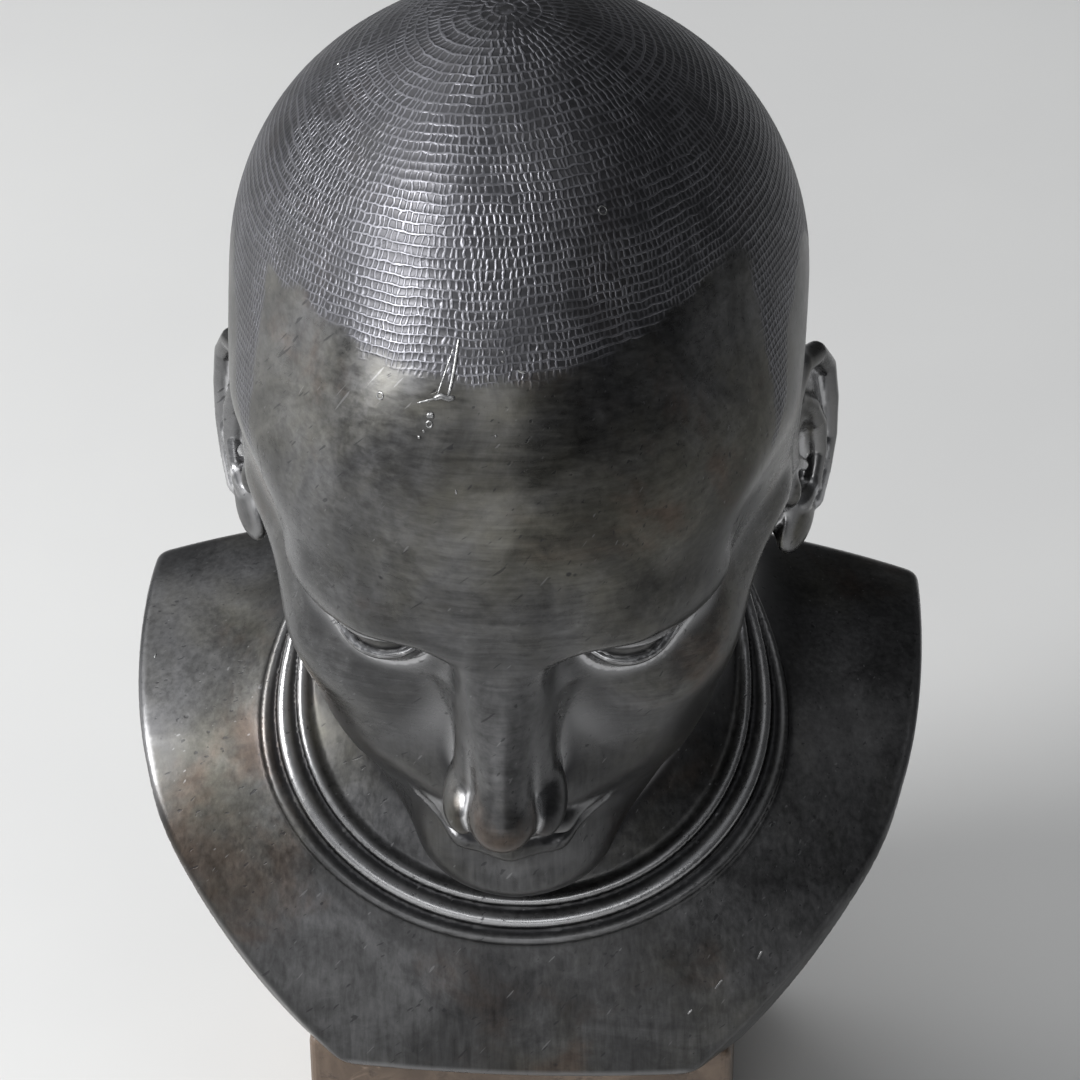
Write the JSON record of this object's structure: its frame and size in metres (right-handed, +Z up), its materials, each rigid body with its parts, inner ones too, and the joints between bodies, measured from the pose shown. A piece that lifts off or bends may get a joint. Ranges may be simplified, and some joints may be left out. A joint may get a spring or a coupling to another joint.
{
  "type": "cast metal portrait bust",
  "caption": "Life-size cast metal bust with a bowed, close-cropped head and a calm plain face, rolled ridges round the neck and a cut-off chest, on a plain stone block.",
  "frame": {"origin": "centre of the stone block's underside", "axes": "+Z up through the bust, the bowed face looks along -Y, X across the shoulders"},
  "size_m": [0.2326, 0.2027, 0.4029],
  "materials": {
    "bust": "hand-polished dark lead-grey casting with an olive-brown patina and chased hair",
    "socle": "honed brown stone with softened edges"
  },
  "bodies": {
    "root": {"bust": "bust", "socle": "socle"}
  },
  "joints": []
}
